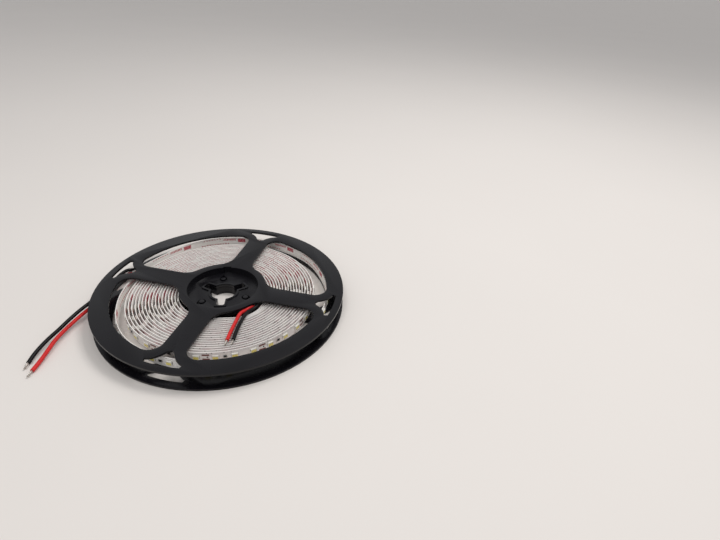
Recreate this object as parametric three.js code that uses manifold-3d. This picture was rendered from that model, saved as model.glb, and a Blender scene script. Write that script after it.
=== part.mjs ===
// LED strip light reel, in millimetres, with +Z up.
// The origin is on the reel's axis at the table, and the spokes lie along X and Y.
// Angles are in degrees, counterclockwise from +X, unless a name says otherwise.
import * as THREE from 'three';
import { mergeVertices } from 'three/addons/utils/BufferGeometryUtils.js';
import Module from 'manifold-3d';

// Reel
const REEL_RADIUS = 89;
const REEL_THICKNESS = 13.5;
const FLANGE_THICKNESS = 1.5;
const SPOKE_COUNT = 4;
const SPOKE_WIDTH = 16.5;
const RIM_WIDTH = 12.5;
const WINDOW_CORNER = 8.5;
const RING_RADIUS = 31;
const RING_FILLET = 13;
const RIM_STEPS = 96;

// Triangular hole where a spoke forks into the rim
const FORK_RIM_WIDTH = 5;
const FORK_ARM_WIDTH = 7;
const FORK_HALF_ANGLE = 8;
const FORK_TIP_RADIUS = 70.7;
const FORK_TIP_BLUNT = 6;
const FORK_SIDE_END = -16;

// Hub
const WELL_RADIUS = 25.5;
const HUB_WALL = 2.2;
const HUB_STEPS = 64;
const PLATE_THICKNESS = 1.25;
const BORE_RADIUS = 9.6;
const KEY_COUNT = 3;
const KEY_WIDTH = 5.6;
const KEY_REACH = 16.6;
const KEY_ANGLE = -73.5;
const KEY_CORNER = 1;
const LIP_WIDTH = 1.5;
const LIP_HEIGHT = 1;
const SLEEVE_LENGTH = 5.1;
const NOTCH_WIDTH = 6;
const NOTCH_DEPTH = 1.2;
const NOTCH_ANGLE = 108;

// Posts of the lower half and the holes of the upper half that they snap into
const POST_COUNT = 3;
const POST_CIRCLE = 17.8;
const POST_RADIUS = 1.9;
const POST_CLEARANCE = 1;
const POST_HOLE_REACH = 5.2;
const POST_STICK_OUT = 0.5;
const POST_ANGLE = -4;
const POST_SIDES = 16;
const CUT_MARGIN = 1;

// Strip: angles run on past a full turn, and the last turn ends at STRIP_END
const STRIP_WIDTH = 8;
const STRIP_THICKNESS = 0.5;
const STRIP_SEAT = 0.3;
const FIRST_TURN_RADIUS = 30.6;
const TIGHT_TURN_RADIUS = 66;
const TIGHT_TURN_ANGLE = -79;
const TURN_COUNT = 17;
const START_ANGLE = 5;
const STRIP_START = START_ANGLE - TURN_COUNT * 360;
const STRIP_END = 537.5;
const STRIP_STEP = 12;
const WALK_STEP = 0.25;

// How the loose last turn stands off the roll: in each row it moves away between the first two
// angles, comes back between the other two, and is that many millimetres away between them
const LOOSE_STRETCHES = [
  [165, 192, 494, 532, 3.2],
  [205, 245, 494, 532, 2],
  [300, 375, 494, 532, 3],
  [392, 420, 480, 500, 1.8],
];
const END_LIFT = 7;
const END_LIFT_FROM = 500;
const END_LIFT_TO = 544;

// Swell of the roll's left side, full at TIGHT_TURN_RADIUS and none at the first turn
const SWELL = 1.4;
const SWELL_ANGLE = 220;
const SWELL_SPREAD = 70;

// Bulge of the innermost turns round the start leads
const LEAD_BULGE = 3.7;
const LEAD_BULGE_ANGLE = -32;
const LEAD_BULGE_SPREAD = 36;
const LEAD_BULGE_TURNS = 2.8;

// Parts on the strip's outer face
const LED_PITCH = 11.9;
const LED_LENGTH = 4.1;
const LED_WIDTH = 3.3;
const LED_HEIGHT = 0.8;
const FIRST_LED_ANGLE = -79.6;
const HIDDEN_FROM = -4;
const HIDDEN_TO = 174;
const PART_GAP = 0.3;
const PAD_LENGTH = 4.2;

// Leads
const LEAD_DIAMETER = 2.5;
const LEAD_SIDES = 8;
const LEAD_STEP = 5;
const TIP_DIAMETER = 1.1;
const TIP_LENGTH = 5;

// Routes of the leads, from the joint on the strip to the end of the insulation
const LEAD_ROUTES = {
  start_lead_black: [
    [30.4, 1.6, 7.1], [30.8, -2.5, 7.6], [31.4, -6, 8.9], [31.4, -9.3, 10], [30.7, -12.6, 10.4],
    [29.5, -16.2, 10.45], [28.2, -20, 11.2], [27.6, -24.5, 11.5], [27.6, -29, 11.4], [28.3, -37, 11.4],
    [29.3, -43.7, 11.4], [30.5, -49.9, 11.45],
  ],
  start_lead_red: [
    [30.4, 1.6, 4.2], [30.3, -2.5, 4.5], [29.7, -6, 6], [29, -9.3, 8], [27.9, -12.2, 9.8],
    [26.4, -15.6, 10.4], [25.1, -18.9, 10.45], [24.1, -22.6, 11.25], [23.9, -26.5, 11.5], [24.3, -31, 11.4],
    [25, -37.9, 11.4], [25.8, -44.7, 11.4], [26.9, -51.4, 11.45],
  ],
  end_lead_black: [
    [-77.9, 9, 7.9], [-79.6, 6.4, 9], [-81.4, 3, 10], [-82.1, -3, 10.2], [-82.1, -11, 9.9],
    [-82.5, -20.2, 9.4], [-83.1, -28.5, 8.8], [-83.4, -36.5, 8], [-84.5, -46.5, 7.6], [-85.2, -56.5, 6.8],
    [-85.8, -65, 5.7], [-86.8, -72.5, 4.6], [-87.2, -79.5, 3.5], [-86.9, -86, 2.5], [-85.6, -92.4, 1.7],
  ],
  end_lead_red: [
    [-77.9, 9, 4.9], [-79.2, 5.6, 6], [-80.8, 1.4, 7.1], [-81.8, -3, 7.3], [-82.1, -9.3, 7.1],
    [-82.1, -19.6, 6.6], [-82.2, -28.8, 5.9], [-82.3, -36.4, 5], [-83, -46.4, 4.9], [-83.3, -56.5, 4.6],
    [-83.4, -64.5, 4.1], [-83, -72.4, 3.5], [-81.5, -80.4, 2.8], [-79.7, -89.4, 2.1], [-78.6, -97.3, 1.6],
  ],
};

const COLORS = {
  reel: 0x232226,
  strip: 0xd9d4cc,
  led: 0xe8d98a,
  red: 0xb8282a,
  black: 0x161416,
  tin: 0x9c9a96,
};

const wasm = await Module();
wasm.setup();

const rad = THREE.MathUtils.degToRad;
const reel = new THREE.Group();

function polar(radius, angle) {
  return new THREE.Vector2(radius * Math.cos(rad(angle)), radius * Math.sin(rad(angle)));
}

// Points of an arc from one angle to the other, both ends included
function arc(center, radius, from, to, steps) {
  const points = [];
  for (let i = 0; i <= steps; i++) {
    points.push(polar(radius, from + ((to - from) * i) / steps).add(center));
  }
  return points;
}

function circle(radius, steps, center = new THREE.Vector2()) {
  return arc(center, radius, 0, 360, steps).slice(0, -1);
}

function turned(points, angle) {
  return points.map((point) => point.clone().rotateAround(new THREE.Vector2(), rad(angle)));
}

// The points, and then the same points in reverse order mirrored in the line at that angle
function mirrored(points, angle) {
  const copies = turned(points, -angle).map((point) => new THREE.Vector2(point.x, -point.y));
  return points.concat(turned(copies, angle).reverse());
}

function slab(outline, holes, bottom, top) {
  const shape = new THREE.Shape(outline);
  shape.holes = holes.map((points) => new THREE.Path(points));
  const geometry = new THREE.ExtrudeGeometry(shape, { depth: top - bottom, bevelEnabled: false });
  return geometry.translate(0, 0, bottom);
}

function solid(geometry) {
  geometry.deleteAttribute('normal');
  geometry.deleteAttribute('uv');
  const merged = mergeVertices(geometry, 1e-5);
  return new wasm.Manifold(new wasm.Mesh({
    numProp: 3,
    vertProperties: new Float32Array(merged.attributes.position.array),
    triVerts: new Uint32Array(merged.index.array),
  }));
}

function geometryOf(manifold) {
  const mesh = manifold.getMesh();
  const geometry = new THREE.BufferGeometry();
  geometry.setAttribute('position', new THREE.BufferAttribute(mesh.vertProperties, mesh.numProp));
  geometry.setIndex(new THREE.BufferAttribute(mesh.triVerts, 1));
  return geometry;
}

function add(name, geometry, color, roughness = 0.5, metalness = 0) {
  const material = new THREE.MeshStandardMaterial({ color, roughness, metalness });
  const mesh = new THREE.Mesh(geometry, material);
  mesh.name = name;
  reel.add(mesh);
  return mesh;
}

// Reel halves

const windowRadius = REEL_RADIUS - RIM_WIDTH;
const spokeHalf = SPOKE_WIDTH / 2;
const windowMiddle = 180 / SPOKE_COUNT;

// Centre of the arc that rounds a window's corner between its spoke and the rim
function cornerCenter() {
  const y = spokeHalf + WINDOW_CORNER;
  return new THREE.Vector2(Math.sqrt((windowRadius - WINDOW_CORNER) ** 2 - y ** 2), y);
}

function windowOutline() {
  const filletY = spokeHalf + RING_FILLET;
  const fillet = new THREE.Vector2(Math.sqrt((RING_RADIUS + RING_FILLET) ** 2 - filletY ** 2), filletY);
  const filletAngle = THREE.MathUtils.radToDeg(fillet.angle());
  const corner = cornerCenter();
  const cornerAngle = THREE.MathUtils.radToDeg(corner.angle());
  const origin = new THREE.Vector2();
  const half = [
    ...arc(origin, RING_RADIUS, windowMiddle, filletAngle, 3).slice(1, -1),
    ...arc(fillet, RING_FILLET, filletAngle + 180, 270, 6),
    ...arc(corner, WINDOW_CORNER, -90, cornerAngle, 8),
    ...arc(origin, windowRadius, cornerAngle, windowMiddle, 5).slice(1, -1),
  ];
  const otherHalf = mirrored(half, windowMiddle).slice(half.length);
  return [...half, polar(windowRadius, windowMiddle), ...otherHalf, polar(RING_RADIUS, windowMiddle)];
}

function forkOutline() {
  const corner = cornerCenter();
  const sideRadius = WINDOW_CORNER + FORK_ARM_WIDTH;
  const tipY = corner.y - Math.sqrt(sideRadius ** 2 - (FORK_TIP_RADIUS - corner.x) ** 2);
  const tipAngle = THREE.MathUtils.radToDeg(Math.asin((tipY - corner.y) / sideRadius));
  const outerRadius = REEL_RADIUS - FORK_RIM_WIDTH;
  const side = arc(corner, sideRadius, tipAngle + FORK_TIP_BLUNT, FORK_SIDE_END, 6);
  const outer = arc(new THREE.Vector2(), outerRadius, FORK_HALF_ANGLE, 0, 4).slice(0, -1);
  const half = [...side, ...outer];
  return [new THREE.Vector2(FORK_TIP_RADIUS, 0), ...half, new THREE.Vector2(outerRadius, 0),
    ...mirrored(half, 0).slice(half.length)];
}

// Outline of the bore with its keyways, moved outwards by that much
function boreOutline(offset) {
  const radius = BORE_RADIUS + offset;
  const half = KEY_WIDTH / 2 + offset;
  const reach = KEY_REACH + offset;
  const start = THREE.MathUtils.radToDeg(Math.asin(half / radius));
  const points = [];
  for (let i = 0; i < KEY_COUNT; i++) {
    const angle = KEY_ANGLE + (i * 360) / KEY_COUNT;
    const key = [
      new THREE.Vector2(reach - KEY_CORNER, -half), new THREE.Vector2(reach, KEY_CORNER - half),
      new THREE.Vector2(reach, half - KEY_CORNER), new THREE.Vector2(reach - KEY_CORNER, half),
    ];
    const round = arc(new THREE.Vector2(), radius, start, 360 / KEY_COUNT - start, 8);
    points.push(...turned([...key, ...round], angle));
  }
  return points;
}

const openOutlines = [];
for (let i = 0; i < SPOKE_COUNT; i++) {
  openOutlines.push(turned(windowOutline(), (i * 360) / SPOKE_COUNT));
  openOutlines.push(turned(forkOutline(), (i * 360) / SPOKE_COUNT));
}

const middleHeight = REEL_THICKNESS / 2;
const flangeTop = REEL_THICKNESS;
const flangeBottom = REEL_THICKNESS - FLANGE_THICKNESS;
const hubRadius = WELL_RADIUS + HUB_WALL;
const plateTop = middleHeight + PLATE_THICKNESS;
const inWall = HUB_WALL / 2;

// A half with its flange on top, its plate and hub wall ending at the middle of the reel
function reelHalf(boreTop) {
  const well = circle(WELL_RADIUS, HUB_STEPS);
  const flange = slab(circle(REEL_RADIUS, RIM_STEPS), [well, ...openOutlines], flangeBottom, flangeTop);
  const wall = slab(circle(hubRadius, HUB_STEPS), [well], middleHeight, flangeBottom + FLANGE_THICKNESS / 2);
  const plate = slab(circle(WELL_RADIUS + inWall, HUB_STEPS), [boreOutline(0)], middleHeight, plateTop);
  const lip = slab(boreOutline(LIP_WIDTH), [boreOutline(0)], middleHeight, boreTop);
  return solid(flange).add(solid(wall)).add(solid(plate)).add(solid(lip));
}

// Turns a half over about the X axis, within the reel's thickness
function turnedOver(geometry) {
  const position = geometry.attributes.position;
  for (let i = 0; i < position.count; i++) {
    position.setXYZ(i, position.getX(i), -position.getY(i), REEL_THICKNESS - position.getZ(i));
  }
  return geometry;
}

function mirroredInY(geometry) {
  const position = geometry.attributes.position;
  for (let i = 0; i < position.count; i++) {
    position.setY(i, -position.getY(i));
  }
  const order = geometry.index.array;
  for (let i = 0; i < order.length; i += 3) {
    [order[i], order[i + 1]] = [order[i + 1], order[i]];
  }
  return geometry;
}

const postAngles = Array.from({ length: POST_COUNT }, (_, i) => POST_ANGLE + (i * 360) / POST_COUNT);

// Hole shaped like a drop, its point away from the reel's axis
function postHole(angle) {
  const radius = POST_RADIUS + POST_CLEARANCE;
  const side = THREE.MathUtils.radToDeg(Math.acos(radius / POST_HOLE_REACH));
  const center = new THREE.Vector2(POST_CIRCLE, 0);
  const point = new THREE.Vector2(POST_CIRCLE + POST_HOLE_REACH, 0);
  return turned([point, ...arc(center, radius, side, 360 - side, 12)], angle);
}

function upperHalf() {
  let half = reelHalf(plateTop + LIP_HEIGHT);
  for (const angle of postAngles) {
    half = half.subtract(solid(slab(postHole(angle), [], middleHeight - CUT_MARGIN, plateTop + CUT_MARGIN)));
  }
  const notch = turned([
    new THREE.Vector2(WELL_RADIUS - NOTCH_DEPTH, -NOTCH_WIDTH / 2),
    new THREE.Vector2(WELL_RADIUS + NOTCH_DEPTH, -NOTCH_WIDTH / 2),
    new THREE.Vector2(WELL_RADIUS + NOTCH_DEPTH, NOTCH_WIDTH / 2),
    new THREE.Vector2(WELL_RADIUS - NOTCH_DEPTH, NOTCH_WIDTH / 2),
  ], NOTCH_ANGLE);
  return geometryOf(half.subtract(solid(slab(notch, [], plateTop, flangeTop + CUT_MARGIN))));
}

function lowerHalf() {
  // Mirroring in Y before the half is turned over keeps its keyways in line with the upper ones
  let half = solid(turnedOver(mirroredInY(geometryOf(reelHalf(plateTop + SLEEVE_LENGTH)))));
  for (const angle of postAngles) {
    const outline = circle(POST_RADIUS, POST_SIDES, polar(POST_CIRCLE, angle));
    half = half.add(solid(slab(outline, [], middleHeight - PLATE_THICKNESS / 2, plateTop + POST_STICK_OUT)));
  }
  return geometryOf(half);
}

add('upper_reel_half', upperHalf(), COLORS.reel, 0.42);
add('lower_reel_half', lowerHalf(), COLORS.reel, 0.42);

// Strip

const pitch = ((TIGHT_TURN_RADIUS - FIRST_TURN_RADIUS) * 360) / (TIGHT_TURN_ANGLE - STRIP_START);
const stripBottom = FLANGE_THICKNESS + STRIP_SEAT;
const stripMiddle = stripBottom + STRIP_WIDTH / 2;

function looseLift(angle) {
  const { smoothstep } = THREE.MathUtils;
  let lift = END_LIFT * smoothstep(angle, END_LIFT_FROM, END_LIFT_TO);
  for (const [leave, away, back, home, height] of LOOSE_STRETCHES) {
    lift += height * (smoothstep(angle, leave, away) - smoothstep(angle, back, home));
  }
  return lift;
}

// A smooth hump round one side of the roll: 1 at that place, and 0 where it is spread degrees away
function hump(angle, place, spread) {
  const away = THREE.MathUtils.euclideanModulo(angle - place + 180, 360) - 180;
  return Math.max(0, 1 - (away / spread) ** 2) ** 2;
}

function leadLift(angle) {
  const turn = (angle - STRIP_START) / 360;
  const fade = Math.max(0, 1 - Math.max(0, turn - 1) / LEAD_BULGE_TURNS);
  return turn > 0.5 ? LEAD_BULGE * fade * hump(angle, LEAD_BULGE_ANGLE, LEAD_BULGE_SPREAD) : 0;
}

function stripRadius(angle) {
  const base = TIGHT_TURN_RADIUS + (pitch * (angle - TIGHT_TURN_ANGLE)) / 360;
  const share = (base - FIRST_TURN_RADIUS) / (TIGHT_TURN_RADIUS - FIRST_TURN_RADIUS);
  const swell = SWELL * share * hump(angle, SWELL_ANGLE, SWELL_SPREAD);
  return base + swell + looseLift(angle) + leadLift(angle);
}

function stripPoint(angle) {
  return polar(stripRadius(angle), angle);
}

// Place on the strip's middle line, with the direction out of its outer face
function stripPlace(angle) {
  const along = stripPoint(angle + 0.5).sub(stripPoint(angle - 0.5)).normalize();
  return { point: stripPoint(angle), outward: new THREE.Vector2(along.y, -along.x) };
}

function stripSide(offset) {
  const count = Math.round((STRIP_END - STRIP_START) / STRIP_STEP);
  return Array.from({ length: count + 1 }, (_, i) => {
    const { point, outward } = stripPlace(STRIP_START + ((STRIP_END - STRIP_START) * i) / count);
    return point.addScaledVector(outward, offset);
  });
}

const stripOutline = [...stripSide(STRIP_THICKNESS / 2), ...stripSide(-STRIP_THICKNESS / 2).reverse()];
add('led_strip', slab(stripOutline, [], stripBottom, stripBottom + STRIP_WIDTH), COLORS.strip, 0.6);

// Angles at equal distances along the strip, from one angle up to another
function anglesAlong(from, to, spacing) {
  const angles = [from];
  let travelled = 0;
  for (let angle = from; angle < to; angle += WALK_STEP) {
    travelled += stripPoint(angle).distanceTo(stripPoint(angle + WALK_STEP));
    if (travelled >= spacing) {
      angles.push(angle + WALK_STEP);
      travelled -= spacing;
    }
  }
  return angles;
}

function onStrip(angle, length, width, height) {
  const { point, outward } = stripPlace(angle);
  const center = point.addScaledVector(outward, STRIP_THICKNESS / 2 + PART_GAP + height / 2);
  const box = new THREE.BoxGeometry(height, length, width);
  return box.rotateZ(outward.angle()).translate(center.x, center.y, stripMiddle);
}

// The row of LEDs starts in the front window, and the stretch of it behind the reel's far side is left out
const padAngle = THREE.MathUtils.radToDeg(PAD_LENGTH / stripRadius(STRIP_END));
const ledAngles = anglesAlong(FIRST_LED_ANGLE, STRIP_END - padAngle, LED_PITCH);
ledAngles.filter((angle) => angle < HIDDEN_FROM || angle > HIDDEN_TO).forEach((angle, i) => {
  const led = onStrip(angle, LED_LENGTH, LED_WIDTH, LED_HEIGHT);
  add(`led_${String(i + 1).padStart(2, '0')}`, led, COLORS.led, 0.35);
});

// Leads

function tube(route, diameter) {
  const curve = new THREE.CatmullRomCurve3(route);
  const section = new THREE.Shape(circle(diameter / 2, LEAD_SIDES));
  const steps = Math.round(curve.getLength() / LEAD_STEP);
  return new THREE.ExtrudeGeometry(section, { steps, extrudePath: curve, bevelEnabled: false });
}

function rod(start, direction, diameter, length) {
  const geometry = new THREE.CylinderGeometry(diameter / 2, diameter / 2, length, LEAD_SIDES);
  const turn = new THREE.Quaternion().setFromUnitVectors(new THREE.Vector3(0, 1, 0), direction);
  const middle = start.clone().addScaledVector(direction, length / 2);
  return geometry.applyQuaternion(turn).translate(middle.x, middle.y, middle.z);
}

for (const [name, points] of Object.entries(LEAD_ROUTES)) {
  const route = points.map((point) => new THREE.Vector3(...point));
  const color = name.endsWith('red') ? COLORS.red : COLORS.black;
  add(name, tube(route, LEAD_DIAMETER), color, 0.45);
  const end = route.at(-1);
  const onwards = end.clone().sub(route.at(-2)).normalize();
  const tipStart = end.clone().addScaledVector(onwards, PART_GAP);
  add(name.replace('lead', 'tip'), rod(tipStart, onwards, TIP_DIAMETER, TIP_LENGTH), COLORS.tin, 0.35, 0.9);
}

export default reel;
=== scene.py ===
import math

import bmesh
import bpy
from bpy.props import FloatProperty, FloatVectorProperty, IntProperty, PointerProperty
from mathutils import Matrix, Vector


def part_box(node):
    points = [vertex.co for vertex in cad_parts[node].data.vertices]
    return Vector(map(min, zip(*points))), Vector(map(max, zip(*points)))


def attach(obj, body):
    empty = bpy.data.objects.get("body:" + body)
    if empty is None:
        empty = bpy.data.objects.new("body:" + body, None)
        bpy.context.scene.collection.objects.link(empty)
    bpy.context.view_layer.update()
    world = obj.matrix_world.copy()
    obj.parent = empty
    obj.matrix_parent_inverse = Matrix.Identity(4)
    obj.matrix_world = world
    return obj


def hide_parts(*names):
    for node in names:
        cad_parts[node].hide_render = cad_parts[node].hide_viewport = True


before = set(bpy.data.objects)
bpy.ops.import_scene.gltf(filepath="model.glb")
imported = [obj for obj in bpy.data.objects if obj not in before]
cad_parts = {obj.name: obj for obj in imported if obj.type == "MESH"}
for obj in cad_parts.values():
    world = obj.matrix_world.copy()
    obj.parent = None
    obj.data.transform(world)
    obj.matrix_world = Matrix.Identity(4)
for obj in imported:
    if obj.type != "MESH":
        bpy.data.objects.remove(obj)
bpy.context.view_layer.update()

bl_info = {
    "name": "LED Strip Light Reel",
    "version": (1, 0, 0),
    "blender": (4, 5, 0),
    "location": "3D View > Sidebar > Strip Reel",
    "description": "Builds a reel of LED strip: moulded halves, the wound strip, its parts and its leads",
    "category": "Add Mesh",
}

MM = 0.001

# Camera of the photograph: 720 by 540 pixels, its place and its turn in the reel's frame
CAMERA_PLACE = (0.14488, -0.25752, 0.21929)
CAMERA_HEADING = math.radians(9.5)
CAMERA_TILT = math.radians(33.365)
CAMERA_ROLL = math.radians(3.95)
CAMERA_LENS = 23.31

# The strip's height and width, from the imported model
STRIP_LOW, STRIP_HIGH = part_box("led_strip")
STRIP_MIDDLE = (STRIP_LOW.z + STRIP_HIGH.z) / 2
STRIP_WIDTH = STRIP_HIGH.z - STRIP_LOW.z

# The strip's spiral, in millimetres and degrees, as the CAD model winds it
STRIP_THICKNESS = 0.5
FIRST_TURN_RADIUS = 30.6
TIGHT_TURN_RADIUS = 66
TIGHT_TURN_ANGLE = -79
START_ANGLE = 5
TURN_COUNT = 17
STRIP_START = START_ANGLE - TURN_COUNT * 360
STRIP_END = 537.5
LOOSE_STRETCHES = (
    (165, 192, 494, 532, 3.2),
    (205, 245, 494, 532, 2),
    (300, 375, 494, 532, 3),
    (392, 420, 480, 500, 1.8),
)
END_LIFT = 7
END_LIFT_FROM = 500
END_LIFT_TO = 544
SWELL = 1.4
SWELL_ANGLE = 220
SWELL_SPREAD = 70
LEAD_BULGE = 3.7
LEAD_BULGE_ANGLE = -32
LEAD_BULGE_SPREAD = 36
LEAD_BULGE_TURNS = 2.8
WINDING_PITCH = (TIGHT_TURN_RADIUS - FIRST_TURN_RADIUS) * 360 / (TIGHT_TURN_ANGLE - STRIP_START)

# Layout along the strip: LED, copper pads, LED, resistor, LED, bare gap, and again
LED_PITCH = 11.9 * MM
FIRST_LED_ANGLE = -79.6
LEDS_PER_SEGMENT = 3
END_MARGIN = 4.2 * MM

# Leads: their sizes in metres, and their routes in millimetres as the CAD model has them
LEAD_DIAMETER = 2.5 * MM
TIP_LENGTH = 5 * MM
TIP_GAP = 0.3 * MM
LEAD_ROUTES = {
    "start_lead_black": (
        (30.4, 1.6, 7.1), (30.8, -2.5, 7.6), (31.4, -6, 8.9), (31.4, -9.3, 10), (30.7, -12.6, 10.4),
        (29.5, -16.2, 10.45), (28.2, -20, 11.2), (27.6, -24.5, 11.5), (27.6, -29, 11.4), (28.3, -37, 11.4),
        (29.3, -43.7, 11.4), (30.5, -49.9, 11.45),
    ),
    "start_lead_red": (
        (30.4, 1.6, 4.2), (30.3, -2.5, 4.5), (29.7, -6, 6), (29, -9.3, 8), (27.9, -12.2, 9.8),
        (26.4, -15.6, 10.4), (25.1, -18.9, 10.45), (24.1, -22.6, 11.25), (23.9, -26.5, 11.5),
        (24.3, -31, 11.4), (25, -37.9, 11.4), (25.8, -44.7, 11.4), (26.9, -51.4, 11.45),
    ),
    "end_lead_black": (
        (-77.9, 9, 7.9), (-79.6, 6.4, 9), (-81.4, 3, 10), (-82.1, -3, 10.2), (-82.1, -11, 9.9),
        (-82.5, -20.2, 9.4), (-83.1, -28.5, 8.8), (-83.4, -36.5, 8), (-84.5, -46.5, 7.6),
        (-85.2, -56.5, 6.8), (-85.8, -65, 5.7), (-86.8, -72.5, 4.6), (-87.2, -79.5, 3.5), (-86.9, -86, 2.5),
        (-85.6, -92.4, 1.7),
    ),
    "end_lead_red": (
        (-77.9, 9, 4.9), (-79.2, 5.6, 6), (-80.8, 1.4, 7.1), (-81.8, -3, 7.3), (-82.1, -9.3, 7.1),
        (-82.1, -19.6, 6.6), (-82.2, -28.8, 5.9), (-82.3, -36.4, 5), (-83, -46.4, 4.9), (-83.3, -56.5, 4.6),
        (-83.4, -64.5, 4.1), (-83, -72.4, 3.5), (-81.5, -80.4, 2.8), (-79.7, -89.4, 2.1),
        (-78.6, -97.3, 1.6),
    ),
}

# Print of the liner, whose pattern repeats along the strip. Each field has its middle and half length as
# shares of the repeat, then its middle and half width as shares of the strip's width.
PRINT_REPEAT = 0.047
PRINT_BLOCK = (0.12, 0.07, 0.68, 0.22)
PRINT_BARS = (0.34, 0.12, 0.78, 0.12)
PRINT_ROW = (0.66, 0.16, 0.87, 0.045)
PRINT_LOW_ROW = (0.6, 0.26, 0.3, 0.06)
BARS_PER_REPEAT, BAR_GAP_SHARE = 36, 0.3
DASHES_PER_REPEAT, DASH_GAP_SHARE = 21, 0.45

# Rails and small dark marks of the board, as shares of the strip's width and of half an LED's pitch
RAIL_OFFSET, RAIL_HALF_WIDTH = 0.33, 0.09
MARK_HEIGHT, MARK_HALF_HEIGHT, MARK_HALF_LENGTH = 0.915, 0.03, 0.055
MARKLESS_SHARE = 0.45
MARK_COLOR = (0.09, 0.06, 0.05)

# Layers of the strip
LINER_GAP = 0.02 * MM
LINER_INSET = 0.1 * MM

# LEDs: their feet and the phosphor field, partly as shares of the LED's length and width
FOOT_LENGTH, FOOT_WIDTH_SHARE, FOOT_HEIGHT = 0.6 * MM, 0.72, 0.28 * MM
FIELD_LENGTH_SHARE, FIELD_WIDTH_SHARE, FIELD_HEIGHT = 0.84, 0.66, 0.06 * MM
FIELD_DROP_SHARE = 0.1

# Other small parts: sizes along the strip, across it and off its face, and places from the part's middle
RESISTOR_BODY = (1.9 * MM, 1.6 * MM, 0.5 * MM)
RESISTOR_LIFT = 0.32 * MM
RESISTOR_CAP = (0.5 * MM, 1.6 * MM, 0.56 * MM)
RESISTOR_CAP_LIFT = 0.29 * MM
RESISTOR_CAP_OFFSET = 1.2 * MM
PAD_BAR = (4.6 * MM, 1.2 * MM, 0.08 * MM)
PAD_BAR_LIFT = 0.03 * MM
PAD_BAR_OFFSET = 1.8 * MM
PAD_DOT_PLACE = (1.0 * MM, 0, 0.04 * MM)
PAD_DOT_RADIUS, PAD_DOT_HEIGHT, PAD_DOT_SIDES = 0.55 * MM, 0.08 * MM, 10
SOLDER_JOINT_RADII = (0.9 * MM, 1.2 * MM, 0.9 * MM)

# Bared ends: the strands' twist over the tip, their distance from the middle and their spread at the cut in
# strand diameters, and the share of the tip by which one strand is cut shorter than the next
TIP_TWIST = math.pi * 1.2
STRAND_OFFSET = 0.98
STRAND_SPREAD = 0.25
CUT_STAGGER = 0.03

# Finishes: cells a metre of their noise, depths of their grain, and the ranges of their roughness
PLASTIC_PATCH_CELLS, PLASTIC_GRAIN_CELLS, PLASTIC_GRAIN_DEPTH = 45, 3200, 0.06 * MM
PLASTIC_ROUGHNESS = (0.22, 0.3)
RAIL_DEPTH = 0.03 * MM
PRINT_WEAR_CELLS = 1500
PAPER_CELLS, PAPER_DEPTH = 900, 0.05 * MM
BOARD_FIBRE_CELLS, BOARD_FIBRE_DEPTH = 2600, 0.05 * MM
LINER_FIBRE_CELLS = 1900
LINER_EDGE_TINT = (0.86, 0.8, 0.74)
HANDLING_MARK_CELLS = 420
INSULATION_ROUGHNESS = (0.3, 0.46)
INSULATION_GRAIN_CELLS, INSULATION_GRAIN_DEPTH = 1300, 0.08 * MM
MOTTLE_DEPTH = 0.03 * MM
FLOOR_CELLS = 5

# Rounding of the moulded halves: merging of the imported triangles, and the angle that makes an edge
MERGE_DISTANCE = 1e-6
FLAT_ANGLE = math.radians(1)
EDGE_ANGLE = math.radians(40)
MOULDED_SMOOTH_DEGREES = 32

# Stage, in metres
FLOOR_REACH, FLOOR_DROP = 12.0, 0.05 * MM
LAMP_SIZE = (0.5, 0.4)
LAMP_COLOR = (1.0, 0.985, 0.965)
KEY_PLACE = (0.45, 0.35, 1.05)
FILL_PLACE = (-0.05, -0.5, 1.2)
SKY_COLOR = (0.98, 0.985, 1)


class ReelSettings(bpy.types.PropertyGroup):
    """Finish of the two moulded halves."""

    color: FloatVectorProperty(
        name="Plastic", description="Colour of the moulded halves", subtype="COLOR",
        default=(0.0035, 0.0032, 0.0045), min=0, max=1)
    edge_radius: FloatProperty(
        name="Edge radius", description="Radius that the mould leaves on every edge",
        default=0.5 * MM, min=0, max=1 * MM, subtype="DISTANCE", unit="LENGTH")
    grain: FloatProperty(
        name="Grain", description="Strength of the fine mould grain",
        default=0.12, min=0, max=1, subtype="FACTOR")


class StripSettings(bpy.types.PropertyGroup):
    """Layers and colours of the wound strip."""

    step: FloatProperty(
        name="Step", description="Turn between two sections of the strip",
        default=math.radians(4), min=math.radians(1), max=math.radians(12), subtype="ANGLE", unit="ROTATION")
    liner_thickness: FloatProperty(
        name="Liner", description="Thickness of the adhesive and its paper liner",
        default=0.2 * MM, min=0.05 * MM, max=0.4 * MM, subtype="DISTANCE", unit="LENGTH")
    mask_color: FloatVectorProperty(
        name="Solder mask", description="Colour of the strip's outer face", subtype="COLOR",
        default=(0.9, 0.875, 0.855), min=0, max=1)
    liner_color: FloatVectorProperty(
        name="Liner paper", description="Colour of the liner's paper", subtype="COLOR",
        default=(0.9, 0.87, 0.845), min=0, max=1)
    print_color: FloatVectorProperty(
        name="Print", description="Colour of the liner's print", subtype="COLOR",
        default=(0.45, 0.03, 0.06), min=0, max=1)


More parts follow.
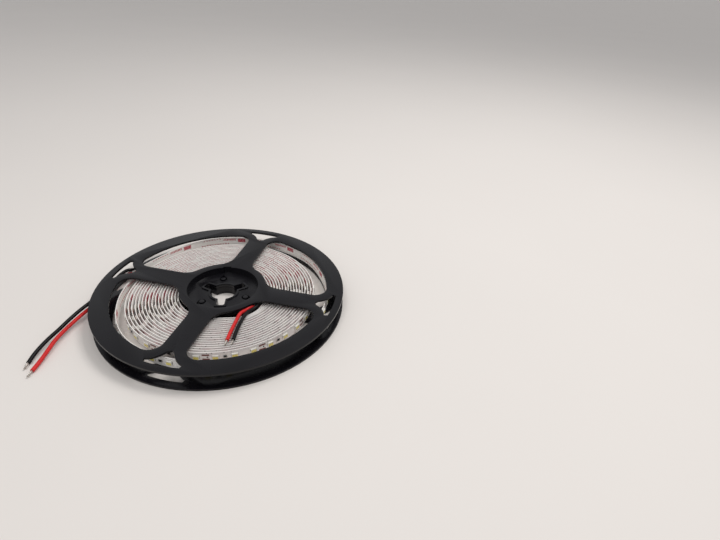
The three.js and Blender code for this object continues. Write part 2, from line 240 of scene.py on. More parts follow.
class PartSettings(bpy.types.PropertyGroup):
    """Sizes and colours of the parts soldered on the strip."""

    led_length: FloatProperty(
        name="LED length", description="Size of an LED along the strip",
        default=4.1 * MM, min=1 * MM, max=6 * MM, subtype="DISTANCE", unit="LENGTH")
    led_width: FloatProperty(
        name="LED width", description="Size of an LED across the strip",
        default=3.3 * MM, min=1 * MM, max=6 * MM, subtype="DISTANCE", unit="LENGTH")
    led_height: FloatProperty(
        name="LED height", description="How far an LED stands off the strip",
        default=0.9 * MM, min=0.3 * MM, max=1.2 * MM, subtype="DISTANCE", unit="LENGTH")
    phosphor_color: FloatVectorProperty(
        name="Phosphor", description="Colour of an LED's phosphor field", subtype="COLOR",
        default=(0.84, 0.73, 0.2), min=0, max=1)
    seed: IntProperty(
        name="Seed", description="Seed of the small differences between like parts", default=7, min=0)


class LeadSettings(bpy.types.PropertyGroup):
    """Finish of the leads and their bared ends."""

    red: FloatVectorProperty(
        name="Red", description="Colour of the red insulation", subtype="COLOR",
        default=(0.6, 0.024, 0.024), min=0, max=1)
    black: FloatVectorProperty(
        name="Black", description="Colour of the black insulation", subtype="COLOR",
        default=(0.0035, 0.003, 0.0035), min=0, max=1)
    strand_diameter: FloatProperty(
        name="Strand", description="Diameter of one strand of a bared end",
        default=0.36 * MM, min=0.1 * MM, max=0.5 * MM, subtype="DISTANCE", unit="LENGTH")


class StageSettings(bpy.types.PropertyGroup):
    """Floor and light."""

    floor_color: FloatVectorProperty(
        name="Floor", description="Colour of the floor", subtype="COLOR",
        default=(0.73, 0.692, 0.66), min=0, max=1)
    key_power: FloatProperty(
        name="Key light", description="Power of the light behind and over the reel, in watts",
        default=6, min=0, max=100)
    fill_power: FloatProperty(
        name="Fill light", description="Power of the light in front of and over the reel, in watts",
        default=3.5, min=0, max=100)
    sky_strength: FloatProperty(
        name="Room light", description="Strength of the even light from all round",
        default=0.54, min=0, max=2)


# Materials


def add_node(tree, kind, values=None, **properties):
    """A node of that kind, its properties and the values of its unlinked sockets set."""
    node = tree.nodes.new(kind)
    for name, value in properties.items():
        setattr(node, name, value)
    for socket, value in (values or {}).items():
        node.inputs[socket].default_value = value
    return node


def new_material(name, roughness, **sockets):
    """A material with its Principled shader, and sockets given as words joined with _."""
    material = bpy.data.materials.new(name)
    material.use_nodes = True
    shader = material.node_tree.nodes["Principled BSDF"]
    shader.inputs["Roughness"].default_value = roughness
    for name_part, value in sockets.items():
        shader.inputs[name_part.replace("_", " ")].default_value = value
    return material, material.node_tree, shader


def object_noise(tree, scale, detail):
    """Noise in the object's own coordinates, with that many cells a metre."""
    place = add_node(tree, "ShaderNodeTexCoord")
    noise = add_node(tree, "ShaderNodeTexNoise", {"Scale": scale, "Detail": detail})
    tree.links.new(place.outputs["Object"], noise.inputs["Vector"])
    return noise.outputs["Fac"]


def ranged(tree, value, low, high, from_low=0.3, from_high=0.7):
    """The value taken from one range into another, and held to its ends."""
    node = add_node(tree, "ShaderNodeMapRange", {1: from_low, 2: from_high, 3: low, 4: high})
    tree.links.new(value, node.inputs[0])
    return node.outputs[0]


def mixed(tree, factor, first, second):
    """A colour between two, which are colours or sockets."""
    node = add_node(tree, "ShaderNodeMix", data_type="RGBA")
    tree.links.new(factor, node.inputs["Factor"])
    for index, value in ((6, first), (7, second)):
        if isinstance(value, bpy.types.NodeSocket):
            tree.links.new(value, node.inputs[index])
        else:
            node.inputs[index].default_value = (*value, 1)
    return node.outputs[2]


def bumped(tree, shader, height, strength, distance):
    """Lets a height value bend the shader's normal."""
    bump = add_node(tree, "ShaderNodeBump", {"Strength": strength, "Distance": distance})
    tree.links.new(height, bump.inputs["Height"])
    tree.links.new(bump.outputs["Normal"], shader.inputs["Normal"])


def strip_uv(tree):
    """Sockets of the length along the strip, in metres, and of the share of its width across it."""
    place = add_node(tree, "ShaderNodeUVMap", uv_map="strip")
    split = add_node(tree, "ShaderNodeSeparateXYZ")
    tree.links.new(place.outputs["UV"], split.inputs["Vector"])
    return split.outputs["X"], split.outputs["Y"]


def math_node(tree, operation, *values):
    """A Math node's result, its operands numbers or sockets."""
    node = add_node(tree, "ShaderNodeMath", operation=operation)
    for index, value in enumerate(values):
        if isinstance(value, bpy.types.NodeSocket):
            tree.links.new(value, node.inputs[index])
        else:
            node.inputs[index].default_value = value
    return node.outputs[0]


def shade(color, factor):
    """A darker or lighter version of a colour."""
    return tuple(min(1.0, channel * factor) for channel in color)


def reel_plastic(settings):
    """Satin black moulded plastic with a fine grain and faint rubbed patches."""
    material, tree, shader = new_material("reel_plastic", 0.28, Specular_IOR_Level=0.3)
    patches = object_noise(tree, PLASTIC_PATCH_CELLS, 4)
    color = mixed(tree, ranged(tree, patches, 0, 1), settings.color, shade(settings.color, 1.5))
    tree.links.new(color, shader.inputs["Base Color"])
    tree.links.new(ranged(tree, patches, *PLASTIC_ROUGHNESS), shader.inputs["Roughness"])
    grain = object_noise(tree, PLASTIC_GRAIN_CELLS, 3)
    bumped(tree, shader, grain, settings.grain, PLASTIC_GRAIN_DEPTH)
    return material


def board_mask(settings):
    """White solder mask, with the two copper rails that show through it and its small dark marks."""
    material, tree, shader = new_material("board_mask", 0.42)
    along, across = strip_uv(tree)
    off_middle = math_node(tree, "ABSOLUTE", math_node(tree, "SUBTRACT", across, 0.5))
    rail = math_node(tree, "COMPARE", off_middle, RAIL_OFFSET, RAIL_HALF_WIDTH)
    rail_color = mixed(tree, rail, settings.mask_color, shade(settings.mask_color, 0.93))
    cell = math_node(tree, "MULTIPLY", along, 1 / (LED_PITCH / 2))
    marks = add_node(tree, "ShaderNodeTexWhiteNoise", noise_dimensions="1D")
    tree.links.new(math_node(tree, "FLOOR", cell), marks.inputs["W"])
    spot = math_node(tree, "SUBTRACT", math_node(tree, "FRACT", cell), marks.outputs["Value"])
    near = math_node(tree, "LESS_THAN", math_node(tree, "ABSOLUTE", spot), MARK_HALF_LENGTH)
    edge = math_node(tree, "COMPARE", across, MARK_HEIGHT, MARK_HALF_HEIGHT)
    rare = math_node(tree, "GREATER_THAN", marks.outputs["Value"], MARKLESS_SHARE)
    dark = math_node(tree, "MULTIPLY", math_node(tree, "MULTIPLY", near, edge), rare)
    color = mixed(tree, dark, rail_color, MARK_COLOR)
    tree.links.new(color, shader.inputs["Base Color"])
    bumped(tree, shader, rail, 0.4, RAIL_DEPTH)
    return material


def liner_paper(settings):
    """Coated liner paper with generic marks in red: blocks, bars and rows of short dashes."""
    material, tree, shader = new_material("liner_paper", 0.5)
    along, across = strip_uv(tree)
    motif = math_node(tree, "FRACT", math_node(tree, "DIVIDE", along, PRINT_REPEAT))

    def field(middle, half_length, height, half_width):
        inside = math_node(tree, "COMPARE", motif, middle, half_length)
        return math_node(tree, "MULTIPLY", inside, math_node(tree, "COMPARE", across, height, half_width))

    def broken(area, count, gap_share):
        share = math_node(tree, "FRACT", math_node(tree, "MULTIPLY", motif, count))
        return math_node(tree, "MULTIPLY", area, math_node(tree, "GREATER_THAN", share, gap_share))

    bars = broken(field(*PRINT_BARS), BARS_PER_REPEAT, BAR_GAP_SHARE)
    row = broken(field(*PRINT_ROW), DASHES_PER_REPEAT, DASH_GAP_SHARE)
    low_row = broken(field(*PRINT_LOW_ROW), DASHES_PER_REPEAT, DASH_GAP_SHARE)
    blocks = math_node(tree, "MAXIMUM", field(*PRINT_BLOCK), bars)
    ink = math_node(tree, "MAXIMUM", blocks, math_node(tree, "MAXIMUM", row, low_row))
    worn = ranged(tree, object_noise(tree, PRINT_WEAR_CELLS, 2), 0.45, 1, 0.35, 0.5)
    color = mixed(tree, math_node(tree, "MULTIPLY", ink, worn), settings.liner_color, settings.print_color)
    tree.links.new(color, shader.inputs["Base Color"])
    bumped(tree, shader, object_noise(tree, PAPER_CELLS, 3), 0.15, PAPER_DEPTH)
    return material


def strip_edge(settings):
    """Cut edge of the board, uneven and close to the tone of its face."""
    material, tree, shader = new_material("strip_edge", 0.55)
    fibres = object_noise(tree, BOARD_FIBRE_CELLS, 2)
    light, dark = shade(settings.mask_color, 1.12), shade(settings.mask_color, 0.93)
    color = mixed(tree, ranged(tree, fibres, 0, 1), light, dark)
    tree.links.new(color, shader.inputs["Base Color"])
    bumped(tree, shader, fibres, 0.3, BOARD_FIBRE_DEPTH)
    return material


def liner_edge(settings):
    """Edge of the adhesive and paper, warmer and a little darker than the board's."""
    material, tree, shader = new_material("liner_edge", 0.6)
    fibres = object_noise(tree, LINER_FIBRE_CELLS, 3)
    warm = tuple(channel * tint for channel, tint in zip(settings.liner_color, LINER_EDGE_TINT))
    color = mixed(tree, ranged(tree, fibres, 0, 1), warm, shade(warm, 0.8))
    tree.links.new(color, shader.inputs["Base Color"])
    return material


def insulation(name, color):
    """Soft PVC with a slight sheen and small handling marks."""
    material, tree, shader = new_material(name, 0.36, Specular_IOR_Level=0.2)
    marks = object_noise(tree, HANDLING_MARK_CELLS, 4)
    tone = mixed(tree, ranged(tree, marks, 0, 1), shade(color, 0.85), shade(color, 1.12))
    tree.links.new(tone, shader.inputs["Base Color"])
    tree.links.new(ranged(tree, marks, *INSULATION_ROUGHNESS), shader.inputs["Roughness"])
    bumped(tree, shader, object_noise(tree, INSULATION_GRAIN_CELLS, 2), 0.15, INSULATION_GRAIN_DEPTH)
    return material


def metal(name, color, roughness, scale):
    """Metal with small changes of tone, for wire, solder and the resistors' ends."""
    material, tree, shader = new_material(name, roughness, Metallic=1.0)
    tone = object_noise(tree, scale, 3)
    mottle = mixed(tree, ranged(tree, tone, 0, 1), shade(color, 0.75), color)
    tree.links.new(mottle, shader.inputs["Base Color"])
    tree.links.new(ranged(tree, tone, roughness * 0.8, roughness * 1.3), shader.inputs["Roughness"])
    return material


def mottled(name, color, roughness, scale=2400, spread=0.12, **sockets):
    """A coloured finish that varies a little from place to place."""
    material, tree, shader = new_material(name, roughness, **sockets)
    tone = object_noise(tree, scale, 2)
    low, high = shade(color, 1 - spread), shade(color, 1 + spread)
    tree.links.new(mixed(tree, ranged(tree, tone, 0, 1), low, high), shader.inputs["Base Color"])
    bumped(tree, shader, tone, 0.08, MOTTLE_DEPTH)
    return material


# Shapes


def link_mesh(name, mesh, materials=()):
    """A new object for a mesh, with its materials."""
    for material in materials:
        mesh.materials.append(material)
    piece = bpy.data.objects.new(name, mesh)
    bpy.context.scene.collection.objects.link(piece)
    return piece


def settle(piece, nodes=()):
    """Puts a finished piece on the part: its body and the nodes that it replaces."""
    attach(piece, "root")
    if nodes:
        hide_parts(*nodes)


def smooth_by_angle(mesh, degrees=30):
    """Shades a mesh smooth, with sharp edges where its faces meet at more than that angle."""
    mesh.polygons.foreach_set("use_smooth", [True] * len(mesh.polygons))
    mesh.set_sharp_from_angle(angle=math.radians(degrees))
    mesh.update()


def smoothstep(value, low, high):
    """0 below low, 1 above high, and smooth between."""
    t = min(1.0, max(0.0, (value - low) / (high - low)))
    return t * t * (3 - 2 * t)


def hump(angle, place, spread):
    """A smooth hump round one side of the roll: 1 at that place, and 0 where it is spread degrees away."""
    away = (angle - place + 180) % 360 - 180
    return max(0.0, 1 - (away / spread) ** 2) ** 2


def strip_radius(angle):
    """Distance of the strip's middle line from the reel's axis, in millimetres."""
    radius = TIGHT_TURN_RADIUS + WINDING_PITCH * (angle - TIGHT_TURN_ANGLE) / 360
    share = (radius - FIRST_TURN_RADIUS) / (TIGHT_TURN_RADIUS - FIRST_TURN_RADIUS)
    radius += SWELL * share * hump(angle, SWELL_ANGLE, SWELL_SPREAD)
    radius += END_LIFT * smoothstep(angle, END_LIFT_FROM, END_LIFT_TO)
    for leave, away, back, home, height in LOOSE_STRETCHES:
        radius += height * (smoothstep(angle, leave, away) - smoothstep(angle, back, home))
    # The inner leads leave in the first half turn, and the turns over them bulge
    turn = (angle - STRIP_START) / 360
    if turn > 0.5:
        fade = max(0.0, 1 - max(0.0, turn - 1) / LEAD_BULGE_TURNS)
        radius += LEAD_BULGE * fade * hump(angle, LEAD_BULGE_ANGLE, LEAD_BULGE_SPREAD)
    return radius


def strip_point(angle):
    """Point of the strip's middle line, in metres."""
    radius = strip_radius(angle) * MM
    turned = math.radians(angle)
    return Vector((radius * math.cos(turned), radius * math.sin(turned)))


def strip_place(angle):
    """Point of the strip's middle line and the direction out of its outer face."""
    along = (strip_point(angle + 0.5) - strip_point(angle - 0.5)).normalized()
    return strip_point(angle), Vector((along.y, -along.x))


def strip_lengths(step=0.5):
    """Pairs of an angle and the length of strip up to it, from the inner end to the outer end."""
    angle, travelled, pairs = STRIP_START, 0.0, [(STRIP_START, 0.0)]
    while angle < STRIP_END:
        onward = min(angle + step, STRIP_END)
        travelled += (strip_point(onward) - strip_point(angle)).length
        angle = onward
        pairs.append((angle, travelled))
    return pairs


STRIP_TABLE = strip_lengths()
STRIP_LENGTH = STRIP_TABLE[-1][1]


def value_between(table, known, key, wanted):
    """Reads one column of the strip's table from the other, between its rows."""
    low, high = 0, len(table) - 1
    while high - low > 1:
        middle = (low + high) // 2
        if table[middle][key] < known:
            low = middle
        else:
            high = middle
    share = (known - table[low][key]) / (table[high][key] - table[low][key])
    return table[low][wanted] + share * (table[high][wanted] - table[low][wanted])


def length_at(angle):
    """Length of strip up to an angle."""
    return value_between(STRIP_TABLE, angle, 0, 1)


def angle_at(length):
    """Angle at which the strip has that length behind it."""
    return value_between(STRIP_TABLE, length, 1, 0)


def ribbon_mesh(name, step, layers):
    """The wound strip: for each layer, its outer and inner face, its edges and its ends.

    A layer is its outer offset, inner offset and half width, then the indices of its three materials, for the
    outer face, the inner face and the edges."""
    count = round((STRIP_END - STRIP_START) / math.degrees(step))
    angles = [STRIP_START + (STRIP_END - STRIP_START) * i / count for i in range(count + 1)]
    places = [strip_place(angle) for angle in angles]
    lengths = [length_at(angle) for angle in angles]
    vertices, faces, indices, uv = [], [], [], []
    for outer, inner, half, outer_material, inner_material, edge_material in layers:
        first = len(vertices)
        corners = ((outer, -half), (outer, half), (inner, half), (inner, -half))
        for (point, outward), length in zip(places, lengths):
            for offset, height in corners:
                spot = point + outward * offset
                vertices.append((spot.x, spot.y, STRIP_MIDDLE + height))
                uv.append((length, 0.5 + height / STRIP_WIDTH))
        kinds = (outer_material, edge_material, inner_material, edge_material)
        for i in range(count):
            a, b = first + 4 * i, first + 4 * (i + 1)
            for side in range(4):
                onward = (side + 1) % 4
                faces.append((a + side, b + side, b + onward, a + onward))
                indices.append(kinds[side])
        last = first + 4 * count
        faces += [(first, first + 1, first + 2, first + 3), (last + 3, last + 2, last + 1, last)]
        indices += [edge_material, edge_material]
    mesh = bpy.data.meshes.new(name)
    mesh.from_pydata(vertices, [], faces)
    mesh.polygons.foreach_set("material_index", indices)
    layer = mesh.uv_layers.new(name="strip")
    for loop in mesh.loops:
        layer.data[loop.index].uv = uv[loop.vertex_index]
    smooth_by_angle(mesh)
    return mesh


def bmesh_mesh(name, form):
    """The mesh that a finished form leaves."""
    mesh = bpy.data.meshes.new(name)
    form.to_mesh(mesh)
    form.free()
    return mesh


def part_mesh(name, boxes, bevel):
    """Small boxes, each its middle and size, with rounded edges; Z points out of the strip's face."""
    form = bmesh.new()
    for middle, size in boxes:
        place = Matrix.Translation(middle) @ Matrix.Diagonal((*size, 1))
        made = bmesh.ops.create_cube(form, size=1, matrix=place)
        edges = list({edge for vertex in made["verts"] for edge in vertex.link_edges})
        offset = min(bevel, min(size) * 0.3)
        bmesh.ops.bevel(form, geom=edges, offset=offset, segments=1, affect="EDGES", clamp_overlap=True)
    return bmesh_mesh(name, form)


def disc_mesh(name, middle, radius, height, sides):
    """A flat round pad that narrows a little outwards; Z points out of the strip's face."""
    form = bmesh.new()
    bmesh.ops.create_cone(
        form, cap_ends=True, segments=sides, radius1=radius, radius2=radius * 0.85, depth=height,
        matrix=Matrix.Translation(middle))
    return bmesh_mesh(name, form)


def scatter_tree(count):
    """A node tree that stands each of its parts on every point, turned as the point's "facing" says."""
    tree = bpy.data.node_groups.new("parts_on_strip", "GeometryNodeTree")
    sockets = tree.interface
    sockets.new_socket(name="Points", in_out="INPUT", socket_type="NodeSocketGeometry")
    sockets.new_socket(name="Parts", in_out="OUTPUT", socket_type="NodeSocketGeometry")
    size = sockets.new_socket(name="Size", in_out="INPUT", socket_type="NodeSocketFloat")
    spread = sockets.new_socket(name="Size spread", in_out="INPUT", socket_type="NodeSocketFloat")
    seed = sockets.new_socket(name="Seed", in_out="INPUT", socket_type="NodeSocketInt")
    parts = [
        (sockets.new_socket(name=f"Part {i + 1}", in_out="INPUT", socket_type="NodeSocketObject"),
         sockets.new_socket(name=f"Finish {i + 1}", in_out="INPUT", socket_type="NodeSocketMaterial"))
        for i in range(count)
    ]
    group_in = tree.nodes.new("NodeGroupInput")
    group_out = tree.nodes.new("NodeGroupOutput")
    facing = add_node(tree, "GeometryNodeInputNamedAttribute", {"Name": "facing"}, data_type="FLOAT_VECTOR")
    random = add_node(tree, "FunctionNodeRandomValue", data_type="FLOAT")
    least = add_node(tree, "ShaderNodeMath", operation="SUBTRACT")
    most = add_node(tree, "ShaderNodeMath", operation="ADD")
    join = tree.nodes.new("GeometryNodeJoinGeometry")
    for node in (least, most):
        tree.links.new(group_in.outputs["Size"], node.inputs[0])
        tree.links.new(group_in.outputs["Size spread"], node.inputs[1])
    tree.links.new(least.outputs[0], random.inputs[2])
    tree.links.new(most.outputs[0], random.inputs[3])
    tree.links.new(group_in.outputs["Seed"], random.inputs["Seed"])
    for i in range(count):
        info = tree.nodes.new("GeometryNodeObjectInfo")
        place = tree.nodes.new("GeometryNodeInstanceOnPoints")
        realize = tree.nodes.new("GeometryNodeRealizeInstances")
        finish = tree.nodes.new("GeometryNodeSetMaterial")
        tree.links.new(group_in.outputs[f"Part {i + 1}"], info.inputs["Object"])
        tree.links.new(group_in.outputs["Points"], place.inputs["Points"])
        tree.links.new(info.outputs["Geometry"], place.inputs["Instance"])
        tree.links.new(facing.outputs["Attribute"], place.inputs["Rotation"])
        tree.links.new(random.outputs[1], place.inputs["Scale"])
        tree.links.new(place.outputs["Instances"], realize.inputs["Geometry"])
        tree.links.new(realize.outputs["Geometry"], finish.inputs["Geometry"])
        tree.links.new(group_in.outputs[f"Finish {i + 1}"], finish.inputs["Material"])
        tree.links.new(finish.outputs["Geometry"], join.inputs["Geometry"])
    tree.links.new(join.outputs["Geometry"], group_out.inputs["Parts"])
    return tree, size, spread, seed, parts


def parts_along(name, lengths, parts, seed, spread=0.03):
    """Stands the parts, each a mesh and its material, on the strip's outer face at those lengths."""
    points = bpy.data.meshes.new(name + "_points")
    spots, turns = [], []
    for length in lengths:
        point, outward = strip_place(angle_at(length))
        spot = point + outward * (STRIP_THICKNESS / 2 * MM)
        spots.append((spot.x, spot.y, STRIP_MIDDLE))
        turns.append((math.pi / 2, 0, math.atan2(outward.y, outward.x) + math.pi / 2))
    points.from_pydata(spots, [], [])
    facing = points.attributes.new("facing", "FLOAT_VECTOR", "POINT")
    facing.data.foreach_set("vector", [value for turn in turns for value in turn])
    piece = link_mesh(name, points)
    tree, size, size_spread, seed_socket, sockets = scatter_tree(len(parts))
    modifier = piece.modifiers.new("parts", "NODES")
    modifier.node_group = tree
    modifier[size.identifier] = 1.0 - spread / 2
    modifier[size_spread.identifier] = spread / 2
    modifier[seed_socket.identifier] = seed
    samples = []
    for (mesh, material), (part_socket, finish_socket) in zip(parts, sockets):
        sample = link_mesh(mesh.name + "_sample", mesh)
        samples.append(sample)
        modifier[part_socket.identifier] = sample
        modifier[finish_socket.identifier] = material
    bpy.context.view_layer.update()
    graph = bpy.context.evaluated_depsgraph_get()
    made = bpy.data.meshes.new_from_object(piece.evaluated_get(graph))
    piece.modifiers.remove(modifier)
    piece.data = made
    made.name = name
    bpy.data.meshes.remove(points)
    for sample in samples:
        bpy.data.objects.remove(sample)
    return piece


def led_lengths():
    """Every LED's length along the strip: in step with the first one in the front window."""
    known = length_at(FIRST_LED_ANGLE)
    first = -int((known - END_MARGIN) / LED_PITCH)
    last = int((STRIP_LENGTH - END_MARGIN - known) / LED_PITCH)
    return [(number, known + number * LED_PITCH) for number in range(first, last + 1)]


def gap_lengths(place):
    """Middles of the gaps that follow every LED with that place in its segment."""
    return [
        length + LED_PITCH / 2 for number, length in led_lengths()
        if number % LEDS_PER_SEGMENT == place and length + LED_PITCH / 2 < STRIP_LENGTH - END_MARGIN
    ]


def route_handles(points):
    """For each point of a route, the point and its two Bezier handles on a smooth curve through them all.

    A handle is a third of the mean step to the points beside it, or of the only step at an end."""
    route = [Vector(point) * MM for point in points]
    rows = []
    for i, point in enumerate(route):
        before, after = route[max(0, i - 1)], route[min(len(route) - 1, i + 1)]
        slope = (after - before) / (6 if 0 < i < len(route) - 1 else 3)
        rows.append((point, point - slope, point + slope))
    return rows


def lead_curve(name, points, material):
    """The lead's insulation: a round tube along its route, with closed ends."""
    curve = bpy.data.curves.new(name, "CURVE")
    curve.dimensions = "3D"
    curve.bevel_depth = LEAD_DIAMETER / 2
    curve.bevel_resolution = 6
    curve.resolution_u = 8
    curve.use_fill_caps = True
    spline = curve.splines.new("BEZIER")
    rows = route_handles(points)
    spline.bezier_points.add(len(rows) - 1)
    for knot, (point, left, right) in zip(spline.bezier_points, rows):
        knot.handle_left_type = knot.handle_right_type = "FREE"
        knot.co, knot.handle_left, knot.handle_right = point, left, right
    curve.materials.append(material)
    piece = bpy.data.objects.new(name, curve)
    bpy.context.scene.collection.objects.link(piece)
    return piece


def strand_mesh(name, start, direction, strand_diameter, steps=14, sides=8, strands=6):
    """A bared end: strands twisted round one in the middle, a little spread where they were cut."""
    form = bmesh.new()
    turn = Vector((0, 0, 1)).rotation_difference(direction).to_matrix()
    for strand in range(strands + 1):
        rings = []
        for i in range(steps + 1):
            share = i / steps
            around = strand * math.tau / strands + share * TIP_TWIST
            out = 0 if strand == strands else strand_diameter * (STRAND_OFFSET + STRAND_SPREAD * share ** 3)
            middle = Vector((out * math.cos(around), out * math.sin(around), share * TIP_LENGTH))
            middle.z -= TIP_LENGTH * CUT_STAGGER * (strand % 3) * share
            ring = []
            for side in range(sides):
                angle = side * math.tau / sides
                offset = Vector((math.cos(angle), math.sin(angle), 0)) * (strand_diameter / 2)
                ring.append(form.verts.new(start + turn @ (middle + offset)))
            rings.append(ring)
        for low, high in zip(rings, rings[1:]):
            for side in range(sides):
                onward = (side + 1) % sides
                form.faces.new((low[side], low[onward], high[onward], high[side]))
        form.faces.new(list(reversed(rings[0])))
        form.faces.new(rings[-1])
    mesh = bmesh_mesh(name, form)
    smooth_by_angle(mesh, 50)
    return mesh


def moulded_copy(node, name, edge_radius):
    """A CAD node's mesh with its triangles merged into flat faces and its edges rounded."""
    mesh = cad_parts[node].data.copy()
    mesh.name = name
    mesh.materials.clear()
    form = bmesh.new()
    form.from_mesh(mesh)
    bmesh.ops.remove_doubles(form, verts=form.verts, dist=MERGE_DISTANCE)
    bmesh.ops.dissolve_limit(form, angle_limit=FLAT_ANGLE, verts=form.verts, edges=form.edges)
    form.to_mesh(mesh)
    form.free()
    piece = link_mesh(name, mesh)
    bevel = piece.modifiers.new("mould_edges", "BEVEL")
    bevel.width = edge_radius
    bevel.segments = 3
    bevel.limit_method = "ANGLE"
    bevel.angle_limit = EDGE_ANGLE
    bevel.use_clamp_overlap = True
    graph = bpy.context.evaluated_depsgraph_get()
    rounded = bpy.data.meshes.new_from_object(piece.evaluated_get(graph))
    piece.modifiers.remove(bevel)
    piece.data = rounded
    rounded.name = name
    bpy.data.meshes.remove(mesh)
    smooth_by_angle(rounded, MOULDED_SMOOTH_DEGREES)
    return piece


# Operators


class REEL_OT_stage(bpy.types.Operator):
    """Add the floor, the lights and the photograph's camera"""

    bl_idname = "reel.stage"
    bl_label = "Stage"

    def execute(self, context):
        settings = context.scene.reel_stage
        scene = context.scene
        scene.view_settings.view_transform = "Standard"
        self.add_camera(scene)
        self.add_floor(settings)
        self.add_lights(scene, settings)
        return {"FINISHED"}

    def add_camera(self, scene):
        heading = Matrix.Rotation(CAMERA_HEADING, 3, "Z")
        ahead = heading @ Vector((0, math.cos(CAMERA_TILT), -math.sin(CAMERA_TILT)))
        level_up = heading @ Vector((0, math.sin(CAMERA_TILT), math.cos(CAMERA_TILT)))
        level_right = heading @ Vector((1, 0, 0))
        right = level_right * math.cos(CAMERA_ROLL) + level_up * math.sin(CAMERA_ROLL)
        up = level_up * math.cos(CAMERA_ROLL) - level_right * math.sin(CAMERA_ROLL)
        data = bpy.data.cameras.new("photo_camera")
        data.lens = CAMERA_LENS
        data.clip_start = 0.01
        camera = bpy.data.objects.new("photo_camera", data)
        turn = Matrix((right, up, -ahead)).transposed().to_4x4()
        camera.matrix_world = Matrix.Translation(CAMERA_PLACE) @ turn
        scene.collection.objects.link(camera)
        scene.camera = camera

    def add_floor(self, settings):
        mesh = bpy.data.meshes.new("floor")
        signs = ((-1, -1), (1, -1), (1, 1), (-1, 1))
        corners = [(x * FLOOR_REACH, y * FLOOR_REACH, -FLOOR_DROP) for x, y in signs]
        mesh.from_pydata(corners, [], [(0, 1, 2, 3)])
        material, tree, shader = new_material("floor_paint", 0.7, Specular_IOR_Level=0.25)
        tone = ranged(tree, object_noise(tree, FLOOR_CELLS, 3), 0, 1)
        color = mixed(tree, tone, settings.floor_color, shade(settings.floor_color, 1.015))
        tree.links.new(color, shader.inputs["Base Color"])
        link_mesh("floor", mesh, [material])

    def add_lights(self, scene, settings):
        self.add_lamp(scene, "key_light", KEY_PLACE, settings.key_power)
        self.add_lamp(scene, "fill_light", FILL_PLACE, settings.fill_power)
        world = bpy.data.worlds.new("room")
        world.use_nodes = True
        background = world.node_tree.nodes["Background"]
        background.inputs["Color"].default_value = (*SKY_COLOR, 1)
        background.inputs["Strength"].default_value = settings.sky_strength
        scene.world = world

    def add_lamp(self, scene, name, place, power):
        """A rectangular light that faces the reel."""
        lamp = bpy.data.lights.new(name, "AREA")
        lamp.shape = "RECTANGLE"
        lamp.size, lamp.size_y = LAMP_SIZE
        lamp.energy = power
        lamp.color = LAMP_COLOR
        light = bpy.data.objects.new(name, lamp)
        turn = (-Vector(place)).to_track_quat("-Z", "Y").to_matrix().to_4x4()
        light.matrix_world = Matrix.Translation(place) @ turn
        scene.collection.objects.link(light)


class REEL_OT_leads(bpy.types.Operator):
    """Add the four leads, their bared strands and their solder joints"""

    bl_idname = "reel.leads"
    bl_label = "Leads"

    def execute(self, context):
        settings = context.scene.reel_leads
        finishes = {
            "red": insulation("red_insulation", settings.red),
            "black": insulation("black_insulation", settings.black),
        }
        tin = metal("tinned_wire", (0.62, 0.58, 0.53), 0.32, 1600)
        joints = bmesh.new()
        for node, points in LEAD_ROUTES.items():
            color = node.rsplit("_", 1)[1]
            lead = lead_curve(node + "_wire", points, finishes[color])
            end, before = Vector(points[-1]) * MM, Vector(points[-2]) * MM
            direction = (end - before).normalized()
            tip_node = node.replace("lead", "tip")
            tip_name = tip_node + "_strands"
            mesh = strand_mesh(tip_name, end - direction * TIP_GAP, direction, settings.strand_diameter)
            tip = link_mesh(tip_name, mesh, [tin])
            settle(lead, [node])
            settle(tip, [tip_node])
            self.add_joint(joints, Vector(points[0]) * MM)
        mesh = bmesh_mesh("solder_joints", joints)
        smooth_by_angle(mesh, 60)
        solder = metal("solder", (0.6, 0.59, 0.57), 0.25, 900)
        settle(link_mesh("solder_joints", mesh, [solder]))
        return {"FINISHED"}

    def add_joint(self, form, middle):
        size = Matrix.Diagonal((*SOLDER_JOINT_RADII, 1))
        bmesh.ops.create_icosphere(form, subdivisions=3, radius=1, matrix=Matrix.Translation(middle) @ size)


class REEL_OT_halves(bpy.types.Operator):
    """Add the two moulded halves with rounded edges"""

    bl_idname = "reel.halves"
    bl_label = "Reel halves"

    def execute(self, context):
        settings = context.scene.reel_plastic
        plastic = reel_plastic(settings)
        for node in ("upper_reel_half", "lower_reel_half"):
            piece = moulded_copy(node, node + "_moulded", settings.edge_radius)
            piece.data.materials.append(plastic)
            settle(piece, [node])
        return {"FINISHED"}


class REEL_OT_strip(bpy.types.Operator):
    """Add the wound strip with its board and its liner"""

    bl_idname = "reel.strip"
    bl_label = "Strip"

    def execute(self, context):
        settings = context.scene.reel_strip
        half_thickness = STRIP_THICKNESS / 2 * MM
        seam = half_thickness - settings.liner_thickness
        layers = (
            (half_thickness, -seam, STRIP_WIDTH / 2, 0, 1, 1),
            (-seam - LINER_GAP, -half_thickness, STRIP_WIDTH / 2 - LINER_INSET, 3, 2, 3),
        )
        mesh = ribbon_mesh("wound_strip", settings.step, layers)
        finishes = [board_mask(settings), strip_edge(settings), liner_paper(settings), liner_edge(settings)]
        settle(link_mesh("wound_strip", mesh, finishes), ["led_strip"])
        return {"FINISHED"}


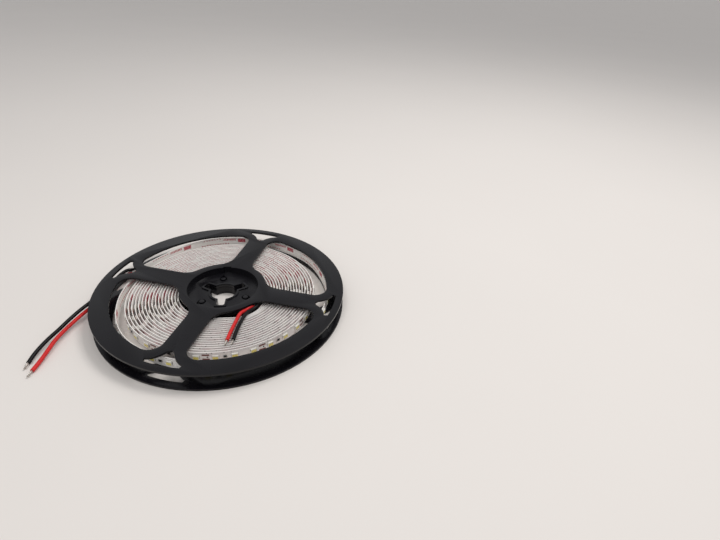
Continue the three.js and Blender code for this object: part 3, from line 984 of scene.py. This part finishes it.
class REEL_OT_parts(bpy.types.Operator):
    """Add the LEDs, the resistors and the copper pads along the strip"""

    bl_idname = "reel.parts"
    bl_label = "Parts on the strip"

    def execute(self, context):
        settings = context.scene.reel_parts
        nodes = sorted(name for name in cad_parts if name.startswith("led_") and name != "led_strip")
        settle(self.add_leds(settings), nodes)
        settle(self.add_resistors(settings))
        settle(self.add_pads(settings))
        return {"FINISHED"}

    def add_leds(self, settings):
        length, width, height = settings.led_length, settings.led_width, settings.led_height
        case = mottled("led_case", (0.8, 0.79, 0.74), 0.3)
        phosphor = mottled("led_phosphor", settings.phosphor_color, 0.22, 1900, 0.1, Coat_Weight=0.5)
        solder = metal("led_solder", (0.62, 0.61, 0.58), 0.28, 2200)
        body = part_mesh("led_body", [((0, 0, height / 2), (length, width, height))], bevel=0.12 * MM)
        field_size = (length * FIELD_LENGTH_SHARE, width * FIELD_WIDTH_SHARE, FIELD_HEIGHT)
        field_place = (0, -width * FIELD_DROP_SHARE, height)
        field = part_mesh("led_field", [(field_place, field_size)], bevel=0.01 * MM)
        foot_size = (FOOT_LENGTH, width * FOOT_WIDTH_SHARE, FOOT_HEIGHT)
        foot_places = [(side * length / 2, 0, FOOT_HEIGHT / 2) for side in (-1, 1)]
        feet = part_mesh("led_feet", [(place, foot_size) for place in foot_places], bevel=0.1 * MM)
        lengths = [length for _, length in led_lengths()]
        parts = [(body, case), (field, phosphor), (feet, solder)]
        return parts_along("leds", lengths, parts, settings.seed)

    def add_resistors(self, settings):
        case = mottled("resistor_case", (0.012, 0.011, 0.012), 0.35)
        ends = metal("resistor_ends", (0.66, 0.65, 0.62), 0.3, 2200)
        body = part_mesh("resistor_body", [((0, 0, RESISTOR_LIFT), RESISTOR_BODY)], bevel=0.05 * MM)
        cap_places = [(side * RESISTOR_CAP_OFFSET, 0, RESISTOR_CAP_LIFT) for side in (-1, 1)]
        caps = part_mesh("resistor_caps", [(place, RESISTOR_CAP) for place in cap_places], bevel=0.08 * MM)
        return parts_along("resistors", gap_lengths(1), [(body, case), (caps, ends)], settings.seed)

    def add_pads(self, settings):
        copper = mottled("bare_copper", (0.17, 0.045, 0.035), 0.4)
        ink = mottled("dark_mark", (0.02, 0.015, 0.015), 0.5)
        bar_places = [(0, side * PAD_BAR_OFFSET, PAD_BAR_LIFT) for side in (-1, 1)]
        bars = part_mesh("pad_bars", [(place, PAD_BAR) for place in bar_places], bevel=0.02 * MM)
        dot = disc_mesh("pad_dot", PAD_DOT_PLACE, PAD_DOT_RADIUS, PAD_DOT_HEIGHT, PAD_DOT_SIDES)
        parts = [(bars, copper), (dot, ink)]
        return parts_along("cut_pads", gap_lengths(0), parts, settings.seed, spread=0.0)


class REEL_PT_panel(bpy.types.Panel):
    """Buttons and settings of the reel"""

    bl_idname = "REEL_PT_panel"
    bl_label = "LED Strip Light Reel"
    bl_space_type = "VIEW_3D"
    bl_region_type = "UI"
    bl_category = "Strip Reel"

    def draw(self, context):
        for operator, settings in STEPS:
            group = getattr(context.scene, settings)
            column = self.layout.column(align=True)
            column.operator(operator.bl_idname, text=operator.bl_label)
            for name in group.__annotations__:
                column.prop(group, name)


STEPS = (
    (REEL_OT_stage, "reel_stage"),
    (REEL_OT_leads, "reel_leads"),
    (REEL_OT_halves, "reel_plastic"),
    (REEL_OT_strip, "reel_strip"),
    (REEL_OT_parts, "reel_parts"),
)
GROUPS = {
    "reel_stage": StageSettings,
    "reel_leads": LeadSettings,
    "reel_plastic": ReelSettings,
    "reel_strip": StripSettings,
    "reel_parts": PartSettings,
}
CLASSES = (*GROUPS.values(), *(operator for operator, _ in STEPS), REEL_PT_panel)


def register():
    for cls in CLASSES:
        bpy.utils.register_class(cls)
    for name, group in GROUPS.items():
        setattr(bpy.types.Scene, name, PointerProperty(type=group))


def unregister():
    for name in GROUPS:
        delattr(bpy.types.Scene, name)
    for cls in reversed(CLASSES):
        bpy.utils.unregister_class(cls)


def main():
    register()
    for operator, _ in STEPS:
        area, name = operator.bl_idname.split(".")
        getattr(getattr(bpy.ops, area), name)()


if __name__ == "__main__":
    main()
